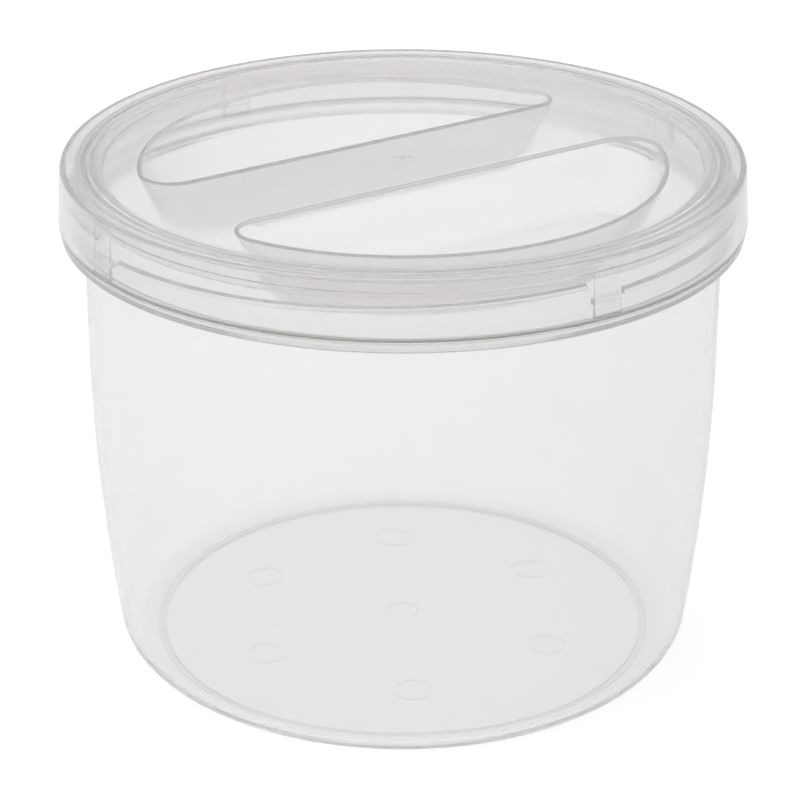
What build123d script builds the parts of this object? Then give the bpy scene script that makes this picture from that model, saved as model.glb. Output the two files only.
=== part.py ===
"""Round clear dough proofing container: a one-piece tub with a quick thread on its neck, and a one-piece lid
with two finger pockets and a grip bar between them.

Millimetres. The origin is the middle of the foot ring's underside, +Z is up, and +X runs along the grip bar.
The lid stands on the tub's rim, turned to where its four lugs can pass between the neck's ridges, so that it
lifts straight off.
"""
from build123d import *
from math import asin, degrees, hypot
import os

# Both pieces are injection moulded, with walls of one thickness
wall = 1.5

# The tub's heights, up from the surface that it stands on
foot_height = 1.0
corner_height = 0.5
floor_thickness = 1.6
collar_height = 113.6
upright_length = 31.6
collar_thickness = 2.6
neck_rise = 10.8
lip_rise = 2.9

# The tub's outline: upright below the collar, and then a wide arc down to the rounded bottom corner
body_radius = 79.9
bow_radius = 534.5
corner_radius = 8.0
foot_inset = 14.9
foot_width = 1.6
foot_round = 0.3
collar_width = 5.6
collar_round = 0.5
neck_flare = 2.2
neck_wall = 1.6
neck_step = 1.6
lip_setback = 0.6
lip_round = 0.3

# The quick thread: ridges that climb the neck, with a gap before each for a lug
thread_starts = 4
lug_width = 7.4
lug_side_gap = 1.5
ridge_stand = 1.2
ridge_root = 2.0
ridge_crest = 1.0
ridge_rise = 5.0
ridge_climb = 3.2
ridge_bite = 0.5

# The moulding marks under the floor: the gate's dimple and a ring of plain round ejector marks
gate_radius = 4.0
gate_depth = 0.2
ejector_radius = 5.0
ejector_line = 0.4
ejector_depth = 0.12
ejector_inset = 23.0
ejector_count = 6

# The lid: a rim that stands proud of a flat panel, a drafted skirt outside it and a plug ring that centres it
pad_thickness = 1.0
lid_draft = 1.0
lid_round = 1.2
skirt_clearance = 0.3
rim_width = 7.5
panel_drop = 2.0
panel_slope_width = 1.7
rim_edge_round = 0.5
plug_clearance = 0.7
plug_wall = 1.4
plug_length = 5.5
guide_clearance = 0.2
lug_clearance = 0.4
lug_thickness = 1.6
lug_travel_share = 0.4

# The finger pockets: D shapes whose straight walls are the two sides of the grip bar
bar_width = 31.4
ledge_width = 9.4
pocket_depth = 16.5
pocket_corner = 7.6
bar_side_lean = 1.7
pocket_arc_lean = 7.6
pocket_floor_round = 5.0
pocket_edge_round = 0.5

# The gate's pip in its dimple, at the middle of the grip bar
pip_radius = 1.0
pip_height = 0.5
dimple_radius = 2.6
dimple_depth = 0.3


def tub_outline(inset, bottom, top):
    """Half the tub's outline, inset from its outside and filled to the axis, from bottom to top."""
    bow = bow_radius - inset
    sweep_angle = degrees(asin((bow_height - bottom) / bow))
    with BuildSketch(Plane.XZ) as outline:
        with BuildLine() as edge:
            side = JernArc((body_radius - inset, bow_height), (0, -1), bow, -sweep_angle)
            Polyline(side @ 1, (0, bottom), (0, top), (body_radius - inset, top), side @ 0)
        make_face()
        fillet(corner_at(outline, (side @ 1).X, bottom), corner_radius - inset)
    return outline.sketch


def band(inner, outer, low, high, mode=Mode.ADD):
    """A rectangle of a section in the XZ plane, between two radii and two heights."""
    with Locations((inner, low)):
        Rectangle(outer - inner, high - low, align=(Align.MIN, Align.MIN), mode=mode)


def corner_at(section, radius, height):
    """The corner of a section that is nearest to a radius and a height."""
    return section.vertices().sort_by_distance((radius, height))[0]


def pocket_bowl(skin):
    """The space inside the +Y finger pocket, or with a skin of the wall's thickness its outside."""
    underside = panel_height - pocket_depth - skin
    arc_top = pocket_radius + skin
    flat_wall = Plane(origin=(0, bar_width / 2 - skin, panel_height), z_dir=(0, pocket_depth, bar_side_lean))
    with BuildPart() as bowl:
        with BuildSketch(Plane.XZ):
            with BuildLine():
                Polyline(
                    (0, underside),
                    (arc_top - pocket_arc_lean, underside),
                    (arc_top, panel_height),
                    (0, panel_height),
                    close=True,
                )
            make_face()
        revolve(axis=Axis.Z)
        split(bisect_by=flat_wall, keep=Keep.TOP)
        across = bowl.edges().group_by(Axis.X)
        fillet(across[0] + across[-1], pocket_corner + skin)
        fillet(bowl.faces().sort_by(Axis.Z)[0].edges(), pocket_floor_round + skin)
    return bowl.part


def within_pockets(edge):
    """Whether an edge of the panel's upper face belongs to a pocket and not to the slope of the rim."""
    middle = edge @ 0.5
    return hypot(middle.X, middle.Y) < (pocket_radius + slope_foot) / 2


def pads(inner):
    """The section of the four pads inside the skirt, from a radius out to the middle of the skirt's wall."""
    with PolarLocations(0, thread_starts):
        Rectangle(lid_radius, lug_width, align=(Align.MIN, Align.CENTER))
    Circle(guide_root, mode=Mode.INTERSECT)
    Circle(inner, mode=Mode.SUBTRACT)


# Places that follow from the sizes above
bow_height = collar_height - upright_length
collar_top = collar_height + collar_thickness
neck_height = collar_top + neck_rise
rim_height = neck_height + lip_rise
foot_radius = body_radius - foot_inset
ejector_circle = foot_radius - ejector_inset
collar_radius = body_radius + collar_width
neck_radius = body_radius + neck_flare
neck_bore = neck_radius - neck_wall
lip_radius = neck_radius - lip_setback
floor_height = foot_height + floor_thickness
half_gap = degrees((lug_width / 2 + lug_side_gap) / neck_radius)
ridge_angle = 360 / thread_starts - 2 * half_gap
ridge_low = collar_top + ridge_rise
ridge_crest_radius = neck_radius + ridge_stand
guide_radius = ridge_crest_radius + guide_clearance
lid_radius = guide_radius + pad_thickness + wall
lid_height = rim_height + wall
panel_height = lid_height - panel_drop
skirt_bottom = collar_top + skirt_clearance
rim_outer = lid_radius - lid_draft
rim_inner = rim_outer - lid_round - rim_width
slope_foot = rim_inner - panel_slope_width
pocket_radius = slope_foot - ledge_width
rim_under = rim_height
plug_radius = neck_bore - plug_clearance
plug_bore = plug_radius - plug_wall
guide_root = (rim_outer + lid_radius - wall) / 2
lug_top = ridge_low + lug_travel_share * ridge_climb - ridge_root / 2
lug_radius = neck_radius + lug_clearance

# One ridge of the thread, from its low end on the +X axis
with BuildPart() as ridge:
    with BuildLine() as climb:
        Helix(ridge_climb * 360 / ridge_angle, ridge_climb, neck_radius, center=(0, 0, ridge_low))
    with BuildSketch(Plane(climb.line @ 0, x_dir=(1, 0, 0), z_dir=climb.line % 0)):
        with BuildLine():
            Polyline(
                (-ridge_bite, -ridge_root / 2),
                (ridge_stand, -ridge_crest / 2),
                (ridge_stand, ridge_crest / 2),
                (-ridge_bite, ridge_root / 2),
                close=True,
            )
        make_face()
    sweep(is_frenet=True)

with BuildPart() as tub:
    # The body, the collar, the neck, the foot ring and the hollow are one turned shape
    with BuildSketch(Plane.XZ) as section:
        add(tub_outline(0, corner_height, collar_top))
        band(0, collar_radius, collar_height, collar_top)
        fillet([corner_at(section, collar_radius, z) for z in (collar_height, collar_top)], collar_round)
        band(0, neck_radius, collar_top, neck_height)
        band(0, lip_radius, neck_height, rim_height)
        band(foot_radius - foot_width, foot_radius, 0, floor_height)
        band(0, foot_radius - foot_width, corner_height, foot_height, Mode.SUBTRACT)
        fillet([corner_at(section, r, 0) for r in (foot_radius - foot_width, foot_radius)], foot_round)
        add(tub_outline(wall, floor_height, collar_height), mode=Mode.SUBTRACT)
        with BuildLine():
            Polyline(
                (0, collar_height),
                (body_radius - wall, collar_height),
                (neck_bore, collar_height + neck_step),
                (neck_bore, rim_height),
                (0, rim_height),
                close=True,
            )
        make_face(mode=Mode.SUBTRACT)
        fillet([corner_at(section, r, rim_height) for r in (neck_bore, lip_radius)], lip_round)
    revolve(axis=Axis.Z)

    # The thread
    with PolarLocations(0, thread_starts, start_angle=half_gap):
        add(ridge.part)

    # The moulding marks
    with BuildSketch(Plane.XY.offset(foot_height)):
        Circle(gate_radius)
    extrude(amount=gate_depth, mode=Mode.SUBTRACT)
    with BuildSketch(Plane.XY.offset(foot_height)):
        with PolarLocations(ejector_circle, ejector_count):
            Circle(ejector_radius)
            Circle(ejector_radius - ejector_line, mode=Mode.SUBTRACT)
    extrude(amount=ejector_depth, mode=Mode.SUBTRACT)

with BuildPart() as lid:
    # The skirt, the rim, the panel and the plug ring are one turned shape
    with BuildSketch(Plane.XZ) as section:
        with BuildLine():
            Polyline(
                (0, panel_height),
                (slope_foot, panel_height),
                (rim_inner, lid_height),
                (rim_outer, lid_height),
                (lid_radius, skirt_bottom),
                (lid_radius - wall, skirt_bottom),
                (rim_outer - wall, rim_under),
                (plug_radius, rim_under),
                (plug_radius, rim_under - plug_length),
                (plug_bore, rim_under - plug_length),
                (plug_bore, rim_under),
                (rim_inner + wall, rim_under),
                (slope_foot + wall, panel_height - wall),
                (0, panel_height - wall),
                close=True,
            )
        make_face()
        fillet(corner_at(section, rim_outer, lid_height), lid_round)
        fillet(corner_at(section, rim_inner, lid_height), rim_edge_round)
    revolve(axis=Axis.Z)

    # The finger pockets hang from the panel
    for side in (0, 180):
        with Locations(Rotation(0, 0, side)):
            add(pocket_bowl(wall))
    for side in (0, 180):
        with Locations(Rotation(0, 0, side)):
            add(pocket_bowl(0), mode=Mode.SUBTRACT)

    # The pockets' upper edges are rounded
    pocket_edges = lid.edges().filter_by_position(Axis.Z, panel_height, panel_height)
    fillet(pocket_edges.filter_by(within_pockets), pocket_edge_round)

    # Four pads down the skirt's inside run past the ridges
    with BuildSketch(Plane.XY.offset(skirt_bottom)):
        pads(guide_radius)
    extrude(amount=rim_under - skirt_bottom)

    # Each pad carries a lug that hooks under a ridge when the lid is turned
    with BuildSketch(Plane.XY.offset(lug_top)):
        pads(lug_radius)
    extrude(amount=-lug_thickness)

    # The gate's pip
    with BuildSketch(Plane.XY.offset(panel_height - dimple_depth)):
        Circle(dimple_radius)
    extrude(amount=dimple_depth, mode=Mode.SUBTRACT)
    with BuildSketch(Plane.XY.offset(panel_height - dimple_depth)):
        Circle(pip_radius)
    extrude(amount=dimple_depth + pip_height)

for piece, name in ((tub, "tub"), (lid, "lid")):
    piece.part.label = name
os.makedirs("parts", exist_ok=True)
export_step(tub.part, "parts/tub.step")
export_step(lid.part, "parts/lid.step")
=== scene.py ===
"""Dresses a round dough proofing container as clear moulded polypropylene, in a pale studio.

The tub and the lid are turned from their sections. The thread, the pads, the moulding marks and the finger
pockets are then joined to them or cut out of them. Lengths are metres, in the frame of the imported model.
"""

import math

import bmesh
import bpy
from bpy.props import FloatProperty, IntProperty, PointerProperty, StringProperty
from mathutils import Matrix, Vector


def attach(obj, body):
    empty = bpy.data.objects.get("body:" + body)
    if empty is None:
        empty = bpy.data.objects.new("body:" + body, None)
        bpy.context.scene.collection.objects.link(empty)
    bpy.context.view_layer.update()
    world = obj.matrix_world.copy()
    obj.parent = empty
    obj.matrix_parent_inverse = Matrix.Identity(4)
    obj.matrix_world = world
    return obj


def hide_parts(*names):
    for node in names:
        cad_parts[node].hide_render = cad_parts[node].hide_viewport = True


bl_info = {
    "name": "Clear Dough Proofing Container",
    "version": (1, 0, 0),
    "blender": (4, 5, 0),
    "location": "3D View > Sidebar > Container",
    "description": "Makes a clear moulded tub with a twist lid, and a pale studio round it",
    "category": "Object",
}

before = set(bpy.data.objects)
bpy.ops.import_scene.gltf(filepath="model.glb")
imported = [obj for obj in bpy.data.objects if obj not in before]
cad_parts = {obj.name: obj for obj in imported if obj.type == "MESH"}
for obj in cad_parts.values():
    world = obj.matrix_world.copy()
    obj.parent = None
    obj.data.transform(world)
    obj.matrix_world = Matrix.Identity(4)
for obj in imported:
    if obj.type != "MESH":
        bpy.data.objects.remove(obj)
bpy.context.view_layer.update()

MM = 0.001
FULL_TURN = 2 * math.pi
UP = Vector((0, 0, 1))
MERGE_DISTANCE = 0.002 * MM


# Sizes and colours that a user would change


def length(name, description, millimetres):
    """A size in the sidebar, given in millimetres and kept in metres."""
    return FloatProperty(name=name, description=description, default=millimetres * MM, unit="LENGTH",
                         precision=4)


def hex_code(name, description, code):
    """A colour in the sidebar, as an sRGB hex code."""
    return StringProperty(name=name, description=f"{description}, as sRGB hex", default=code)


class ContainerSizes(bpy.types.PropertyGroup):
    """Sizes that the tub and the lid share or are known by."""

    wall: length("Wall", "Thickness of the moulded walls", 1.5)
    body_radius: length("Body radius", "Outside of the tub's upright part", 79.9)
    bow_radius: length("Bow radius", "The wide arc of the tub's lower side", 534.5)
    bow_height: length("Bow height", "Where the upright side turns into the wide arc", 82.0)
    collar_radius: length("Collar radius", "Outside of the collar under the lid", 85.5)
    collar_height: length("Collar height", "Underside of the collar", 113.6)
    neck_radius: length("Neck radius", "Outside of the neck between the thread's ridges", 82.1)
    rim_height: length("Rim height", "Top of the tub, where the lid rests", 129.9)
    lid_radius: length("Lid radius", "Outside of the lid's skirt at its lower edge", 86.0)
    bar_width: length("Grip bar width", "Width of the bar between the finger pockets", 31.4)
    pocket_radius: length("Pocket radius", "Arc of the finger pockets at the panel", 65.2)
    pocket_depth: length("Pocket depth", "Depth of the finger pockets", 16.5)
    turn_steps: IntProperty(name="Turn steps", description="Facets round the turned walls", default=288,
                            min=24)


class ContainerPlastic(bpy.types.PropertyGroup):
    """The look of the clear plastic."""

    tub_tint: hex_code("Tub tint", "Colour of the tub's wall by its surface", "F9F9F9")
    lid_tint: hex_code("Lid tint", "Colour of the lid's wall by its surface", "FDFCFC")
    tub_depth: hex_code("Tub depth", "Colour deep in the tub's plastic", "DCDCDC")
    lid_depth: hex_code("Lid depth", "Colour deep in the lid's plastic", "E8DCC8")
    # Painted shade: the darker grey of the tub's foot ring stands in for the contact shadow under the tub
    tub_foot: hex_code("Tub foot", "Colour of the scuffed foot ring", "D0D0D0")
    # Painted shade: the darker lower edge of the lid's skirt stands in for the shade where the skirt meets
    # the collar
    lid_foot: hex_code("Lid foot", "Colour of the skirt's scuffed lower edge", "A8A6A2")
    darkening: FloatProperty(name="Darkening", description="How fast the plastic darkens, per metre",
                             default=10.0, min=0.0)
    tub_milk: FloatProperty(name="Tub milkiness", description="How much light the tub scatters, per metre",
                            default=64.0, min=0.0)
    lid_milk: FloatProperty(name="Lid milkiness", description="How much light the lid scatters, per metre",
                            default=80.0, min=0.0)
    clarity: FloatProperty(name="Clarity", description="Share of the light that a surface doesn't scatter",
                           default=0.98, min=0.0, max=1.0, subtype="FACTOR")
    tub_roughness: FloatProperty(name="Tub roughness", description="Left by the mould", default=0.05, min=0.0,
                                 max=1.0, subtype="FACTOR")
    lid_roughness: FloatProperty(name="Lid roughness", description="Left by the mould", default=0.1, min=0.0,
                                 max=1.0, subtype="FACTOR")


class ContainerStage(bpy.types.PropertyGroup):
    """The floor, the lamps and the camera."""

    floor_colour: hex_code("Floor", "Colour of the floor", "FFFFFF")
    azimuth: FloatProperty(name="Camera azimuth", description="Turn of the camera round the container",
                           default=math.radians(-33.4), subtype="ANGLE")
    elevation: FloatProperty(name="Camera elevation", description="Angle of the camera over the lid's top",
                             default=math.radians(19.49), subtype="ANGLE")
    pitch: FloatProperty(name="Camera pitch", description="How far the camera looks down",
                         default=math.radians(24.49), subtype="ANGLE")
    distance: length("Camera distance", "From the middle of the lid's top to the camera", 709.6)
    aside: length("Camera aside", "How far the camera stands to its right", -0.77)
    lens: FloatProperty(name="Focal length", description="Of the camera, on a 36 mm sensor", default=127.95)


# Details of the tub
FLOOR_TOP = 2.6 * MM
FOOT_UNDERSIDE = 1.0 * MM
CORNER_HEIGHT = 0.5 * MM
CORNER_REACH = 6.9 * MM
CORNER_SEGMENTS = 8
FOOT_RADIUS = 65.0 * MM
FOOT_WIDTH = 1.6 * MM
BOW_STEPS = 12
COLLAR_THICKNESS = 2.6 * MM
SHOULDER_HEIGHT = 127.0 * MM
NECK_WALL = 1.6 * MM
LIP_SETBACK = 0.6 * MM
# Air between the rim and the lid on it, which light needs to pass from one to the other as in a real stack
CONTACT_GAP = 0.04 * MM
THREAD_STARTS = 4
RIDGE_HALF_GAP = math.radians(3.63)
RIDGE_LOW = 121.2 * MM
RIDGE_CLIMB = 3.2 * MM
RIDGE_STAND = 1.2 * MM
RIDGE_ROOT = 2.0 * MM
RIDGE_CREST = 1.0 * MM
RIDGE_STEPS = 72
GATE_RADIUS = 4.0 * MM
GATE_DEPTH = 0.2 * MM
EJECTOR_CIRCLE = 42.0 * MM
EJECTOR_RADIUS = 5.0 * MM
EJECTOR_LINE = 0.4 * MM
EJECTOR_DEPTH = 0.12 * MM
EJECTOR_COUNT = 6
EJECTOR_STEPS = 48

# Details of the lid
LID_DRAFT = 1.0 * MM
LID_ROUND = 1.2 * MM
LID_ROUND_SEGMENTS = 6
RIM_WIDTH = 7.5 * MM
PANEL_DROP = 2.0 * MM
SLOPE_WIDTH = 1.7 * MM
SKIRT_CLEARANCE = 0.3 * MM
PLUG_CLEARANCE = 0.7 * MM
PLUG_WALL = 1.4 * MM
PLUG_LENGTH = 5.5 * MM
PAD_WIDTH = 7.4 * MM
PAD_THICKNESS = 1.25 * MM
PAD_CLEARANCE = 0.2 * MM
PAD_SETBACK = 0.1 * MM
PAD_STEPS = 6
LUG_STAND = 1.0 * MM
LUG_TOP = 121.5 * MM
LUG_THICKNESS = 1.6 * MM
POCKET_CORNER = 7.6 * MM
POCKET_FLOOR_ROUND = 5.0 * MM
POCKET_EDGE_ANGLE = 0.5
POCKET_OVERCUT = 1.0 * MM
POCKET_CORNER_STEPS = 12
POCKET_ARC_STEPS = 96
# Heights of the levels in the round at a pocket's floor, as shares of its radius
FLOOR_ROUND_SHARES = (0.0, 0.01, 0.04, 0.1, 0.19, 0.31, 0.46, 0.61, 0.75, 0.89)
BAR_LEAN = 1.7 * MM
ARC_LEAN = 7.6 * MM
PIP_RADIUS = 1.0 * MM
PIP_HEIGHT = 0.5 * MM
DIMPLE_RADIUS = 2.6 * MM
DIMPLE_DEPTH = 0.3 * MM
PANEL_MIDDLE = 10.0 * MM

# Rounds, each named after one of the places that have it, as its reach along the sides of its corner and its
# number of segments
DIMPLE_ROUND = (0.15 * MM, 2)
GATE_ROUND = (0.2 * MM, 2)
FOOT_ROUND = (0.25 * MM, 2)
LIP_ROUND = (0.3 * MM, 2)
EDGE_ROUND = (0.4 * MM, 3)
COLLAR_ROUND = (0.5 * MM, 3)
POCKET_EDGE_ROUND = (0.5 * MM, 3)

# How the meshes of both are joined and shaded
BITE = 0.5 * MM
LEVEL_TOLERANCE = 0.0001 * MM
SHARP_ANGLE = math.radians(35)
FLAT_WEIGHT = 50

# The plastic
POLYPROPYLENE_IOR = 1.49
LID_GATE = (3.0 * MM, 7.0 * MM, 0)
FLOW_WAVES = 25.0 * MM
FLOW_HEIGHT = 0.15 * MM
FLOW_STRENGTH = 0.35
COOLING_GRAIN = 4.0 * MM
POLISH_SPREAD = 0.3
MILK_FORWARD = 0.3
SHADOW_TINT = "F6F6F6"
# Band at the foot that is scuffed matt, and painted darker as painted shade of the contact
SCUFF_AND_SHADE_HEIGHT = 0.4 * MM
SCUFF_AND_SHADE_FADE = 0.1 * MM
SCUFF_ROUGHNESS = 0.35

# The studio, where 1 is white
ROOM = 0.48
MIRRORED_SHARE = 0.25
PAPER_GLOW = (0.54, 0.78)
PAPER_GLOW_SHARE = 0.7
PAPER_FIBRES = 0.6 * MM
PAPER_HEIGHT = 0.05 * MM
PAPER_STRENGTH = 0.05
FLOOR_RADIUS = 4.0
FLOOR_STEPS = 96
LOOK_AT = (0, 0, 0.07)
# Name, place, side and watts of each lamp
LAMPS = (
    ("lamp_over", (0.25, 0.9, 1.5), 1.2, 15.0),
    ("lamp_left", (-1.3, -0.5, 0.9), 1.0, 9.5),
)
SENSOR_WIDTH = 36.0
VIEW_RANGE = (0.01, 20.0)
# Walls seen through each other take more bounces than the default
BOUNCES = {
    "max_bounces": 32,
    "transmission_bounces": 32,
    "transparent_max_bounces": 32,
    "glossy_bounces": 16,
    "volume_bounces": 4,
}


def panel_height(size):
    """The top of the lid's panel."""
    return size.rim_height + size.wall - PANEL_DROP


def skirt_bottom(size):
    """The lower edge of the lid's skirt."""
    return size.collar_height + COLLAR_THICKNESS + SKIRT_CLEARANCE


# Making meshes


def section_wire(points, rounds, closed=False):
    """A wire in the XZ plane through (radius, height) points, with the corners named in rounds rounded off.

    rounds gives for a point's number how far the round reaches along its two sides, and its segments.
    """
    bm = bmesh.new()
    corners = [bm.verts.new((radius, 0, height)) for radius, height in points]
    for start, end in zip(corners, corners[1:]):
        bm.edges.new((start, end))
    if closed:
        bm.edges.new((corners[-1], corners[0]))
    for number, (reach, segments) in rounds.items():
        bmesh.ops.bevel(bm, geom=[corners[number]], offset=reach, offset_type="OFFSET", segments=segments,
                        profile=0.5, affect="VERTICES", clamp_overlap=False, material=-1)
    return bm


def turn(bm, steps, angle=FULL_TURN, climb=0.0):
    """Turns a wire about Z, through a full circle or an angle, and closes the ends of a part turn."""
    whole = angle == FULL_TURN
    bmesh.ops.spin(bm, geom=bm.verts[:] + bm.edges[:], cent=(0, 0, 0), axis=UP, dvec=UP * (climb / steps),
                   angle=angle, steps=steps, use_merge=whole)
    bmesh.ops.remove_doubles(bm, verts=bm.verts, dist=MERGE_DISTANCE)
    if not whole:
        bmesh.ops.holes_fill(bm, edges=[edge for edge in bm.edges if edge.is_boundary], sides=0)
    bmesh.ops.recalc_face_normals(bm, faces=bm.faces)
    return bm


def swing(bm, angle):
    """Turns a whole mesh about Z."""
    bmesh.ops.rotate(bm, verts=bm.verts, cent=(0, 0, 0), matrix=Matrix.Rotation(angle, 3, "Z"))
    return bm


def repeat(bm, count):
    """Repeats a mesh evenly round Z."""
    first = bm.verts[:] + bm.edges[:] + bm.faces[:]
    for number in range(1, count):
        copy = bmesh.ops.duplicate(bm, geom=first)["geom"]
        verts = [item for item in copy if isinstance(item, bmesh.types.BMVert)]
        turned = Matrix.Rotation(number * FULL_TURN / count, 3, "Z")
        bmesh.ops.rotate(bm, verts=verts, cent=(0, 0, 0), matrix=turned)
    return bm


def as_object(bm, name):
    """Links a finished bmesh into the scene as an object at the origin."""
    mesh = bpy.data.meshes.new(name)
    bm.to_mesh(mesh)
    bm.free()
    piece = bpy.data.objects.new(name, mesh)
    bpy.context.scene.collection.objects.link(piece)
    return piece


def drop_slivers(mesh):
    """Takes out the tiny edges and faces that a boolean leaves along its cuts."""
    bm = bmesh.new()
    bm.from_mesh(mesh)
    bmesh.ops.remove_doubles(bm, verts=bm.verts, dist=MERGE_DISTANCE)
    bmesh.ops.dissolve_degenerate(bm, edges=bm.edges, dist=MERGE_DISTANCE)
    bm.to_mesh(mesh)
    bm.free()


def combine(piece, bm, operation):
    """Joins a bmesh to a piece, or cuts it out of the piece, as one closed solid."""
    tool = as_object(bm, "tool")
    modifier = piece.modifiers.new("combine", "BOOLEAN")
    modifier.operation = operation
    modifier.solver = "EXACT"
    modifier.object = tool
    evaluated = piece.evaluated_get(bpy.context.evaluated_depsgraph_get())
    mesh = bpy.data.meshes.new_from_object(evaluated)
    drop_slivers(mesh)
    before, tool_mesh = piece.data, tool.data
    piece.modifiers.clear()
    piece.data = mesh
    bpy.data.objects.remove(tool)
    for old in (before, tool_mesh):
        bpy.data.meshes.remove(old)


def smooth_finish(piece):
    """Shades a moulding smooth over its rounds and keeps its flats flat."""
    piece.data.shade_smooth()
    piece.data.set_sharp_from_angle(angle=SHARP_ANGLE)
    flats = piece.modifiers.new("Flat faces", "WEIGHTED_NORMAL")
    flats.keep_sharp = True
    flats.weight = FLAT_WEIGHT


def settle(piece, body, material):
    """Gives a finished piece its plastic, its body and the solid that it stands for."""
    piece.data.materials.clear()
    piece.data.materials.append(material)
    smooth_finish(piece)
    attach(piece, body)
    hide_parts(body)


# The tub


def bow(size, inset):
    """The side of the tub from its bottom corner up to the collar, inset from its outside."""
    radius = size.bow_radius - inset
    centre = size.body_radius - size.bow_radius
    low = FLOOR_TOP if inset else CORNER_HEIGHT
    points = []
    for step in range(BOW_STEPS + 1):
        height = low + (size.bow_height - low) * step / BOW_STEPS
        points.append((centre + math.sqrt(radius ** 2 - (size.bow_height - height) ** 2), height))
    return points


def tub_shell(size):
    """The floor, the foot ring, the side, the collar, the neck and the lip, turned from one section."""
    outer, inner = bow(size, 0), bow(size, size.wall)
    collar_top = size.collar_height + COLLAR_THICKNESS
    bore = size.neck_radius - NECK_WALL
    lip = size.neck_radius - LIP_SETBACK
    rim = size.rim_height - CONTACT_GAP
    underside = [
        (0, FOOT_UNDERSIDE + GATE_DEPTH),
        (GATE_RADIUS, FOOT_UNDERSIDE + GATE_DEPTH),
        (GATE_RADIUS, FOOT_UNDERSIDE),
        (FOOT_RADIUS - FOOT_WIDTH, FOOT_UNDERSIDE),
        (FOOT_RADIUS - FOOT_WIDTH, 0),
        (FOOT_RADIUS, 0),
        (FOOT_RADIUS, CORNER_HEIGHT),
    ]
    top = [
        (size.body_radius, size.collar_height),
        (size.collar_radius, size.collar_height),
        (size.collar_radius, collar_top),
        (size.neck_radius, collar_top),
        (size.neck_radius, SHOULDER_HEIGHT),
        (lip, SHOULDER_HEIGHT),
        (lip, rim),
        (bore, rim),
        (bore, size.collar_height + NECK_WALL),
        (size.body_radius - size.wall, size.collar_height),
    ]
    points = underside + outer + top + inner[::-1] + [(0, FLOOR_TOP)]
    first_top = len(underside) + len(outer)
    rounds = {
        2: GATE_ROUND,
        4: FOOT_ROUND,
        5: FOOT_ROUND,
        len(underside): (CORNER_REACH, CORNER_SEGMENTS),
        first_top: COLLAR_ROUND,
        first_top + 1: COLLAR_ROUND,
        first_top + 2: COLLAR_ROUND,
        first_top + 3: COLLAR_ROUND,
        first_top + 4: FOOT_ROUND,
        first_top + 5: FOOT_ROUND,
        first_top + 6: LIP_ROUND,
        first_top + 7: LIP_ROUND,
        first_top + len(top) + len(inner) - 1: (CORNER_REACH - size.wall, CORNER_SEGMENTS),
    }
    return turn(section_wire(points, rounds), size.turn_steps)


def thread_ridges(size):
    """The four ridges that climb the neck, with a gap before each."""
    root, crest = size.neck_radius - BITE, size.neck_radius + RIDGE_STAND
    section = [
        (root, RIDGE_LOW - RIDGE_ROOT / 2),
        (crest, RIDGE_LOW - RIDGE_CREST / 2),
        (crest, RIDGE_LOW + RIDGE_CREST / 2),
        (root, RIDGE_LOW + RIDGE_ROOT / 2),
    ]
    angle = FULL_TURN / THREAD_STARTS - 2 * RIDGE_HALF_GAP
    crests = section_wire(section, {1: FOOT_ROUND, 2: FOOT_ROUND}, closed=True)
    ridge = turn(crests, RIDGE_STEPS, angle, RIDGE_CLIMB)
    return repeat(swing(ridge, RIDGE_HALF_GAP), THREAD_STARTS)


def ejector_marks():
    """Plain round moulding marks in a ring under the floor."""
    section = [
        (EJECTOR_RADIUS - EJECTOR_LINE, FOOT_UNDERSIDE - BITE),
        (EJECTOR_RADIUS, FOOT_UNDERSIDE - BITE),
        (EJECTOR_RADIUS, FOOT_UNDERSIDE + EJECTOR_DEPTH),
        (EJECTOR_RADIUS - EJECTOR_LINE, FOOT_UNDERSIDE + EJECTOR_DEPTH),
    ]
    mark = turn(section_wire(section, {}, closed=True), EJECTOR_STEPS)
    bmesh.ops.translate(mark, verts=mark.verts, vec=(EJECTOR_CIRCLE, 0, 0))
    return repeat(mark, EJECTOR_COUNT)


# The lid


def lid_shell(size):
    """The panel, the rim, the skirt and the plug ring, turned from one section."""
    top, panel, bottom = size.rim_height + size.wall, panel_height(size), skirt_bottom(size)
    rim_outer = size.lid_radius - LID_DRAFT
    rim_inner = rim_outer - LID_ROUND - RIM_WIDTH
    slope_foot = rim_inner - SLOPE_WIDTH
    plug_radius = size.neck_radius - NECK_WALL - PLUG_CLEARANCE
    plug_bore = plug_radius - PLUG_WALL
    points = [
        (0, panel + PIP_HEIGHT),
        (PIP_RADIUS, panel + PIP_HEIGHT),
        (PIP_RADIUS, panel - DIMPLE_DEPTH),
        (DIMPLE_RADIUS, panel - DIMPLE_DEPTH),
        (DIMPLE_RADIUS, panel),
        (slope_foot, panel),
        (rim_inner, top),
        (rim_outer, top),
        (size.lid_radius, bottom),
        (size.lid_radius - size.wall, bottom),
        (rim_outer - size.wall, size.rim_height),
        (plug_radius, size.rim_height),
        (plug_radius, size.rim_height - PLUG_LENGTH),
        (plug_bore, size.rim_height - PLUG_LENGTH),
        (plug_bore, size.rim_height),
        (rim_inner + size.wall, size.rim_height),
        (slope_foot + size.wall, panel - size.wall),
        (0, panel - size.wall),
    ]
    rounds = {
        1: LIP_ROUND,
        4: DIMPLE_ROUND,
        5: EDGE_ROUND,
        6: COLLAR_ROUND,
        7: (LID_ROUND, LID_ROUND_SEGMENTS),
        8: EDGE_ROUND,
        9: LIP_ROUND,
        12: EDGE_ROUND,
        13: EDGE_ROUND,
        16: EDGE_ROUND,
    }
    return turn(section_wire(points, rounds), size.turn_steps)


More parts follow.
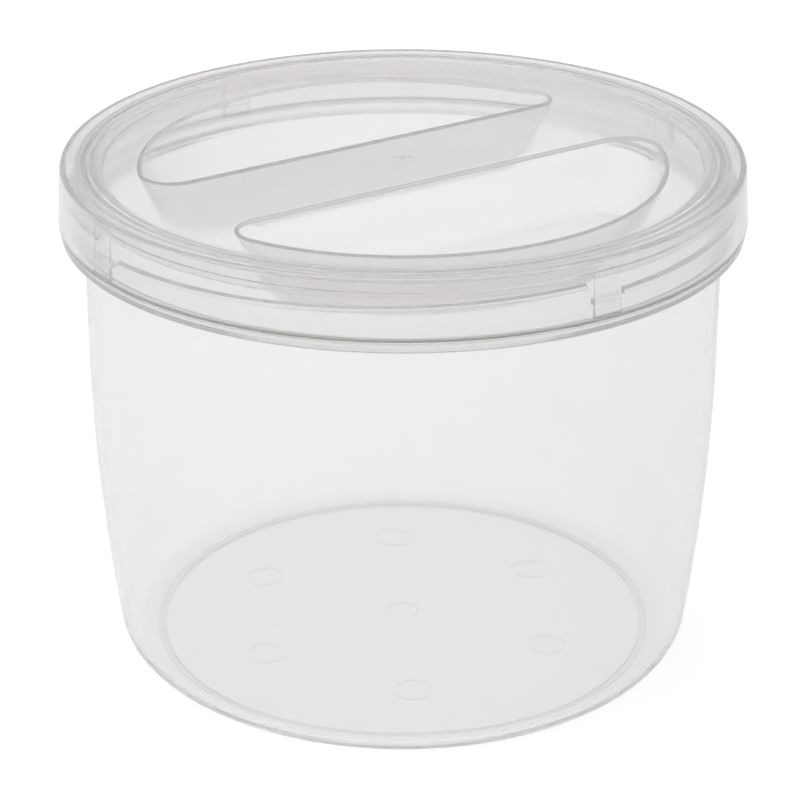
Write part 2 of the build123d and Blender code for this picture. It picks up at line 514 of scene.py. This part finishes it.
def skirt_pads(size):
    """Four pads down the skirt's inside, each with a lug that hooks under a ridge of the neck."""
    face = size.neck_radius + RIDGE_STAND + PAD_CLEARANCE
    low = skirt_bottom(size) + PAD_SETBACK
    root = face + PAD_THICKNESS
    section = [
        (root, low),
        (face, low),
        (face, LUG_TOP - LUG_THICKNESS),
        (face - LUG_STAND, LUG_TOP - LUG_THICKNESS),
        (face - LUG_STAND, LUG_TOP),
        (face, LUG_TOP),
        (face, size.rim_height + BITE),
        (root, size.rim_height + BITE),
    ]
    half = math.asin(PAD_WIDTH / 2 / face)
    pad = turn(section_wire(section, {}, closed=True), PAD_STEPS, 2 * half)
    return repeat(swing(pad, -half), THREAD_STARTS)


def pocket_level(bm, flat, arc, corner, height):
    """One level of the +Y finger pocket: a D with a flat at y = flat, an arc about Z and round corners."""
    up = flat + corner
    across = math.sqrt((arc - corner) ** 2 - up ** 2)
    meeting = math.atan2(up, across)
    first = last = bm.verts.new((across, flat, height))
    for centre, angle, steps in (((across, up, height), math.pi / 2 + meeting, POCKET_CORNER_STEPS),
                                 ((0, 0, height), math.pi - 2 * meeting, POCKET_ARC_STEPS),
                                 ((-across, up, height), math.pi / 2 + meeting, POCKET_CORNER_STEPS)):
        spun = bmesh.ops.spin(bm, geom=[last], cent=centre, axis=UP, angle=angle, steps=steps)
        last = next(item for item in spun["geom_last"] if isinstance(item, bmesh.types.BMVert))
    bm.edges.new((last, first))


def wall_run(height, lean, rounding):
    """How far out a leaning wall with a round foot is at a height, from where its line meets the floor."""
    foot = rounding / math.tan((math.pi / 2 + lean) / 2)
    if height < rounding * (1 - math.sin(lean)):
        return math.sqrt(rounding ** 2 - (rounding - height) ** 2) - foot
    return height * math.tan(lean)


def pocket_bowls(size, skin, top):
    """Both finger pockets as solid bowls up to a height, with a skin round their inner space."""
    panel = panel_height(size)
    depth = size.pocket_depth + skin
    rounding = POCKET_FLOOR_ROUND + skin
    bar_lean, arc_lean = math.atan(BAR_LEAN / size.pocket_depth), math.atan(ARC_LEAN / depth)
    flat_foot = size.bar_width / 2 - skin + depth * math.tan(bar_lean)
    arc_foot = size.pocket_radius + skin - ARC_LEAN
    bm = bmesh.new()
    heights = [share * rounding for share in FLOOR_ROUND_SHARES] + [top - panel + depth]
    for height in heights:
        flat_run = wall_run(height, bar_lean, rounding)
        arc_run = wall_run(height, arc_lean, rounding)
        corner = POCKET_CORNER + skin + min(0.0, (flat_run + arc_run) / 2)
        pocket_level(bm, flat_foot - flat_run, arc_foot + arc_run, corner, panel - depth + height)
    for low, high in zip(heights, heights[1:]):
        levels = [panel - depth + low, panel - depth + high]
        loops = [edge for edge in bm.edges
                 if any(all(abs(vert.co.z - level) < LEVEL_TOLERANCE for vert in edge.verts)
                        for level in levels)]
        bmesh.ops.bridge_loops(bm, edges=loops)
    bmesh.ops.holes_fill(bm, edges=[edge for edge in bm.edges if edge.is_boundary], sides=0)
    bmesh.ops.recalc_face_normals(bm, faces=bm.faces)
    return repeat(bm, 2)


def round_pocket_edges(piece, size):
    """Rounds the upper edges of the finger pockets."""
    panel, reach = panel_height(size), size.pocket_radius + POCKET_OVERCUT
    bm = bmesh.new()
    bm.from_mesh(piece.data)
    edges = []
    for edge in bm.edges:
        level = all(abs(vert.co.z - panel) < MERGE_DISTANCE for vert in edge.verts)
        near = all(PANEL_MIDDLE < vert.co.xy.length < reach for vert in edge.verts)
        if level and near and edge.calc_face_angle(0) > POCKET_EDGE_ANGLE:
            edges.append(edge)
    offset, segments = POCKET_EDGE_ROUND
    bmesh.ops.bevel(bm, geom=edges, offset=offset, offset_type="OFFSET", segments=segments, profile=0.5,
                    affect="EDGES", clamp_overlap=True, material=-1)
    bm.to_mesh(piece.data)
    bm.free()


# Materials


def colour(code):
    """A linear colour from an sRGB hex code."""
    channels = [int(code[start:start + 2], 16) / 255 for start in (0, 2, 4)]
    return tuple(c / 12.92 if c <= 0.04045 else ((c + 0.055) / 1.055) ** 2.4 for c in channels) + (1.0,)


def add_node(tree, kind, settings=None, links=None):
    """Adds a node to a tree, sets its inputs or attributes by name, and links its inputs to outputs."""
    node = tree.nodes.new(kind)
    for name, value in (settings or {}).items():
        if isinstance(name, int) or name in node.inputs:
            node.inputs[name].default_value = value
        else:
            setattr(node, name, value)
    for name, output in (links or {}).items():
        tree.links.new(output, node.inputs[name])
    return node


def clear_polypropylene(name, plastic, piece, flow_origin, foot_radius, foot_height):
    """Clarified polypropylene, injection moulded: the tub in a polished mould, the lid in a duller one.

    A single wall is nearly clear, and the eye sees it by its grey edges, by the milkiness where light goes a
    long way through it, and by the slow waviness that the melt's flow from the gate leaves in the gloss.
    Outside foot_radius and below foot_height, where the piece stands on tables, it is scuffed matt, and its
    colour is
    painted darker there as painted shade: the contact shadow under the tub's foot ring, and the shade where
    the lid's skirt meets the collar.
    """
    tint, foot, depth, milk, roughness = (getattr(plastic, f"{piece}_{field}")
                                          for field in ("tint", "foot", "depth", "milk", "roughness"))
    material = bpy.data.materials.new(name)
    material.use_nodes = True
    tree = material.node_tree
    tree.nodes.clear()
    place = add_node(tree, "ShaderNodeTexCoord")
    centred = add_node(tree, "ShaderNodeMapping", {"Location": flow_origin},
                       {"Vector": place.outputs["Object"]})
    # Long waves from the flow, and a finer unevenness of the polish from cooling
    waves = add_node(tree, "ShaderNodeTexNoise", {"Scale": 1 / FLOW_WAVES, "Detail": 1.0},
                     {"Vector": centred.outputs["Vector"]})
    cooling = add_node(tree, "ShaderNodeTexNoise", {"Scale": 1 / COOLING_GRAIN, "Detail": 2.0},
                       {"Vector": centred.outputs["Vector"]})
    polish = add_node(tree, "ShaderNodeMapRange",
                      {"To Min": (1 - POLISH_SPREAD) * roughness, "To Max": (1 + POLISH_SPREAD) * roughness},
                      {"Value": cooling.outputs["Fac"]})
    height = add_node(tree, "ShaderNodeSeparateXYZ", None, {"Vector": place.outputs["Object"]})
    flat = add_node(tree, "ShaderNodeVectorMath", {"operation": "MULTIPLY", 1: (1, 1, 0)},
                    {0: place.outputs["Object"]})
    radius = add_node(tree, "ShaderNodeVectorMath", {"operation": "LENGTH"}, {0: flat.outputs["Vector"]})
    outside = add_node(tree, "ShaderNodeMapRange",
                       {"From Min": foot_radius, "From Max": foot_radius + SCUFF_AND_SHADE_FADE},
                       {"Value": radius.outputs["Value"]})
    # Mask for the foot: matt from scuffing, and darker as painted shade of the contact below
    scuff_and_shade = add_node(tree, "ShaderNodeMapRange",
                    {"From Min": foot_height, "From Max": foot_height + SCUFF_AND_SHADE_FADE, "To Max": 0.0},
                    {"Value": height.outputs["Z"], "To Min": outside.outputs["Result"]})
    scuffed = add_node(tree, "ShaderNodeMapRange", {"To Max": SCUFF_ROUGHNESS},
                       {"Value": scuff_and_shade.outputs["Result"], "To Min": polish.outputs["Result"]})
    # Painted shade: the foot colour darkens the mask's band, for the contact shadow
    tinted = add_node(tree, "ShaderNodeMix", {"data_type": "RGBA", 6: colour(tint), 7: colour(foot)},
                      {0: scuff_and_shade.outputs["Result"]})
    bump = add_node(tree, "ShaderNodeBump", {"Strength": FLOW_STRENGTH, "Distance": FLOW_HEIGHT},
                    {"Height": waves.outputs["Fac"]})
    surface = add_node(tree, "ShaderNodeBsdfPrincipled",
                       {"IOR": POLYPROPYLENE_IOR, "Transmission Weight": plastic.clarity},
                       {"Base Color": tinted.outputs[2], "Roughness": scuffed.outputs["Result"],
                        "Normal": bump.outputs["Normal"]})
    # Lamps shine through the walls, as they do through a real one
    lit_through = add_node(tree, "ShaderNodeBsdfTransparent", {"Color": colour(SHADOW_TINT)})
    path = add_node(tree, "ShaderNodeLightPath")
    mixed = add_node(tree, "ShaderNodeMixShader", None,
                     {0: path.outputs["Is Shadow Ray"], 1: surface.outputs["BSDF"],
                      2: lit_through.outputs["BSDF"]})
    darker = add_node(tree, "ShaderNodeVolumeAbsorption",
                      {"Color": colour(depth), "Density": plastic.darkening})
    milky = add_node(tree, "ShaderNodeVolumeScatter",
                     {"Color": colour("FFFFFF"), "Density": milk, "Anisotropy": MILK_FORWARD})
    inside = add_node(tree, "ShaderNodeAddShader", None,
                      {0: darker.outputs["Volume"], 1: milky.outputs["Volume"]})
    add_node(tree, "ShaderNodeOutputMaterial", None,
             {"Surface": mixed.outputs["Shader"], "Volume": inside.outputs["Shader"]})
    return material


def bright_for_the_eye(tree):
    """How white a ray finds the backdrop: fully from the camera or through plastic, partly if mirrored."""
    path = add_node(tree, "ShaderNodeLightPath")
    mirrored = add_node(tree, "ShaderNodeMath", {"operation": "MULTIPLY", 1: MIRRORED_SHARE},
                        {0: path.outputs["Is Glossy Ray"]})
    in_plastic = add_node(tree, "ShaderNodeMath", {"operation": "MAXIMUM"},
                          {0: path.outputs["Is Transmission Ray"], 1: mirrored.outputs["Value"]})
    return add_node(tree, "ShaderNodeMath", {"operation": "MAXIMUM"},
                    {0: path.outputs["Is Camera Ray"], 1: in_plastic.outputs["Value"]}).outputs["Value"]


def paper_floor(stage):
    """Seamless matt background paper: it vanishes into white, and keeps a soft shadow under the tub."""
    material = bpy.data.materials.new("matt_background_paper")
    material.use_nodes = True
    tree = material.node_tree
    tree.nodes.clear()
    place = add_node(tree, "ShaderNodeTexCoord")
    # Paper fibres are about 0.1 mm, drawn coarser so that they can show
    fibres = add_node(tree, "ShaderNodeTexNoise", {"Scale": 1 / PAPER_FIBRES, "Detail": 2.0},
                      {"Vector": place.outputs["Object"]})
    bump = add_node(tree, "ShaderNodeBump", {"Strength": PAPER_STRENGTH, "Distance": PAPER_HEIGHT},
                    {"Height": fibres.outputs["Fac"]})
    paper = add_node(tree, "ShaderNodeBsdfDiffuse", {"Color": colour(stage.floor_colour)},
                     {"Normal": bump.outputs["Normal"]})
    # Full brightness for what is seen, and less for what is mirrored, as of paper with a dim room round it
    strength = add_node(tree, "ShaderNodeMapRange", {"To Min": PAPER_GLOW[0], "To Max": PAPER_GLOW[1]},
                        {"Value": bright_for_the_eye(tree)})
    glow = add_node(tree, "ShaderNodeEmission", {"Color": colour(stage.floor_colour)},
                    {"Strength": strength.outputs["Result"]})
    lit = add_node(tree, "ShaderNodeMixShader", {0: PAPER_GLOW_SHARE}, {1: paper.outputs["BSDF"]})
    shown = add_node(tree, "ShaderNodeAddShader", None,
                     {0: lit.outputs["Shader"], 1: glow.outputs["Emission"]})
    add_node(tree, "ShaderNodeOutputMaterial", None, {"Surface": shown.outputs["Shader"]})
    return material


def studio_world():
    """Surroundings that look white, light like a dimmer room and are mirrored as something in between."""
    world = bpy.data.worlds.new("studio")
    bpy.context.scene.world = world
    world.use_nodes = True
    tree = world.node_tree
    tree.nodes.clear()
    room = add_node(tree, "ShaderNodeBackground", {"Color": colour("FFFFFF"), "Strength": ROOM})
    white = add_node(tree, "ShaderNodeBackground", {"Color": colour("FFFFFF"), "Strength": 1.0})
    mixed = add_node(tree, "ShaderNodeMixShader", None,
                     {0: bright_for_the_eye(tree), 1: room.outputs["Background"],
                      2: white.outputs["Background"]})
    add_node(tree, "ShaderNodeOutputWorld", None, {"Surface": mixed.outputs["Shader"]})
    return world


# Operators


class CONTAINER_OT_tub(bpy.types.Operator):
    """Make the clear tub with its thread and moulding marks"""

    bl_idname = "container.tub"
    bl_label = "Make the tub"

    def execute(self, context):
        size = context.scene.container_sizes
        piece = as_object(tub_shell(size), "clear_tub")
        combine(piece, thread_ridges(size), "UNION")
        combine(piece, ejector_marks(), "DIFFERENCE")
        # The foot ring is scuffed matt, and painted darker as painted shade of its contact shadow on the
        # paper
        plastic = clear_polypropylene("moulded_clear_polypropylene_tub", context.scene.container_plastic,
                                      "tub", (0, 0, 0), FOOT_RADIUS - 2 * FOOT_WIDTH, SCUFF_AND_SHADE_HEIGHT)
        settle(piece, "tub", plastic)
        return {"FINISHED"}


class CONTAINER_OT_lid(bpy.types.Operator):
    """Make the clear lid with its finger pockets, grip bar, pads and lugs"""

    bl_idname = "container.lid"
    bl_label = "Make the lid"

    def execute(self, context):
        size = context.scene.container_sizes
        panel = panel_height(size)
        piece = as_object(lid_shell(size), "clear_lid")
        combine(piece, skirt_pads(size), "UNION")
        combine(piece, pocket_bowls(size, size.wall, panel - size.wall / 2), "UNION")
        combine(piece, pocket_bowls(size, 0.0, panel + POCKET_OVERCUT), "DIFFERENCE")
        round_pocket_edges(piece, size)
        # The skirt's lower edge is scuffed matt, and painted darker as painted shade where it meets the
        # collar
        plastic = clear_polypropylene("moulded_clear_polypropylene_lid", context.scene.container_plastic,
                                      "lid", LID_GATE, size.lid_radius - 2 * size.wall,
                                      skirt_bottom(size) + SCUFF_AND_SHADE_HEIGHT)
        settle(piece, "lid", plastic)
        return {"FINISHED"}


class CONTAINER_OT_stage(bpy.types.Operator):
    """Make the paper floor, the soft lamps, the white surroundings and the camera"""

    bl_idname = "container.stage"
    bl_label = "Make the studio"

    def execute(self, context):
        stage = context.scene.container_stage
        bm = bmesh.new()
        bmesh.ops.create_circle(bm, cap_ends=True, segments=FLOOR_STEPS, radius=FLOOR_RADIUS)
        floor = as_object(bm, "paper_floor")
        floor.data.materials.append(paper_floor(stage))
        studio_world()
        for lamp in LAMPS:
            self.add_lamp(context, *lamp)
        self.add_camera(context, stage)
        for name, count in BOUNCES.items():
            setattr(context.scene.cycles, name, count)
        return {"FINISHED"}

    def add_lamp(self, context, name, place, side, watts):
        """A square soft box that looks at the container."""
        light = bpy.data.lights.new(name, "AREA")
        light.size = side
        light.energy = watts
        lamp = bpy.data.objects.new(name, light)
        lamp.location = place
        lamp.visible_glossy = False
        lamp.visible_transmission = False
        lamp.rotation_euler = (Vector(place) - Vector(LOOK_AT)).to_track_quat("Z", "Y").to_euler()
        context.scene.collection.objects.link(lamp)

    def add_camera(self, context, stage):
        """The camera at the photograph's place, looking down past the lid."""
        size = context.scene.container_sizes
        data = bpy.data.cameras.new("camera")
        data.lens = stage.lens
        data.sensor_width = SENSOR_WIDTH
        data.clip_start, data.clip_end = VIEW_RANGE
        camera = bpy.data.objects.new("camera", data)
        back = Vector((math.sin(stage.azimuth) * math.cos(stage.elevation),
                       -math.cos(stage.azimuth) * math.cos(stage.elevation), math.sin(stage.elevation)))
        right = Vector((math.cos(stage.azimuth), math.sin(stage.azimuth), 0))
        lid_top = Vector((0, 0, size.rim_height + size.wall))
        camera.location = lid_top + back * stage.distance + right * stage.aside
        camera.rotation_euler = (math.pi / 2 - stage.pitch, 0, stage.azimuth)
        context.scene.collection.objects.link(camera)
        context.scene.camera = camera


class CONTAINER_PT_sidebar(bpy.types.Panel):
    """Lists the container's pieces, sizes and plastic"""

    bl_idname = "CONTAINER_PT_sidebar"
    bl_label = "Dough Proofing Container"
    bl_space_type = "VIEW_3D"
    bl_region_type = "UI"
    bl_category = "Container"

    def draw(self, context):
        for operator in OPERATORS:
            self.layout.operator(operator.bl_idname)
        for name in GROUPS:
            group = getattr(context.scene, name)
            box = self.layout.box()
            for field in type(group).__annotations__:
                box.prop(group, field)


OPERATORS = (CONTAINER_OT_tub, CONTAINER_OT_lid, CONTAINER_OT_stage)
GROUPS = {
    "container_sizes": ContainerSizes,
    "container_plastic": ContainerPlastic,
    "container_stage": ContainerStage,
}


def register():
    for kind in (*GROUPS.values(), *OPERATORS, CONTAINER_PT_sidebar):
        bpy.utils.register_class(kind)
    for name, group in GROUPS.items():
        setattr(bpy.types.Scene, name, PointerProperty(type=group))


def unregister():
    for name in GROUPS:
        delattr(bpy.types.Scene, name)
    for kind in reversed((*GROUPS.values(), *OPERATORS, CONTAINER_PT_sidebar)):
        bpy.utils.unregister_class(kind)


def main():
    register()
    bpy.ops.container.tub()
    bpy.ops.container.lid()
    bpy.ops.container.stage()
    scene = bpy.context.scene
    scene.view_settings.view_transform = "Standard"


if __name__ == "__main__":
    main()
